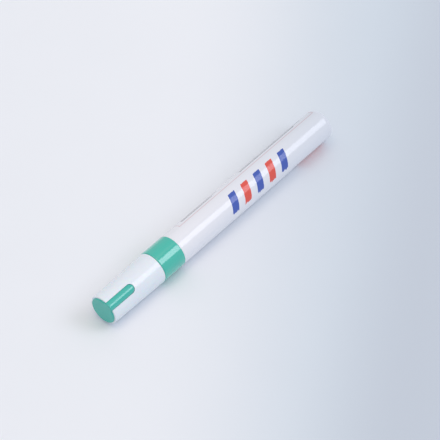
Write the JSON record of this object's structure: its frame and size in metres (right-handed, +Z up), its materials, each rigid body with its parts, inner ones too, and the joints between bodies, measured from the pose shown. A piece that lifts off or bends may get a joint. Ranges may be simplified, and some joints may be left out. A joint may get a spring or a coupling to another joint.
{
  "type": "paint marker",
  "caption": "Capped paint marker: closed metal tube of paint, push-on cap with a coloured end plug, and a sprung valve that the nib opens when it is pressed.",
  "frame": {"origin": "under the middle of the marker's length, on the surface that it lies on", "axes": "+X along the marker from the closed end of the cap to the tail of the barrel, +Z up"},
  "size_m": [0.14, 0.015, 0.015],
  "materials": {
    "barrel": "gloss",
    "green_plastic": "gloss",
    "white_plastic": "gloss",
    "natural_plastic": "satin",
    "nib_fibre": "matte",
    "rubber": "matte",
    "steel": "polished"
  },
  "bodies": {
    "body": {"barrel": "barrel", "collar": "green_plastic", "nozzle": "white_plastic", "valve_seat": "rubber", "valve_housing": "natural_plastic", "valve_spring": "steel"},
    "cap": {"cap_shell": "white_plastic", "cap_plug": "green_plastic", "inner_cap": "natural_plastic"},
    "nib": {"nib": "nib_fibre"},
    "valve": {"valve_stem": "natural_plastic"},
    "ball": {"mixing_ball": "steel"}
  },
  "joints": [
    {"name": "cap_pull", "type": "slide", "parent": "body", "child": "cap", "axis": [-1, 0, 0], "range_m": [0, 0.036]},
    {"name": "nib_press", "type": "slide", "parent": "body", "child": "nib", "axis": [1, 0, 0], "range_m": [0, 0.002], "stiffness_N_per_m": 300},
    {"name": "valve_lift", "type": "slide", "parent": "body", "child": "valve", "axis": [1, 0, 0], "range_m": [0, 0.002], "deforming": ["valve_spring"]},
    {"name": "ball_run", "type": "slide", "parent": "body", "child": "ball", "axis": [-1, 0, 0], "range_m": [0, 0.076]}
  ],
  "couplings": [
    {"joint": "valve_lift", "follows": "nib_press", "ratio": 1}
  ]
}
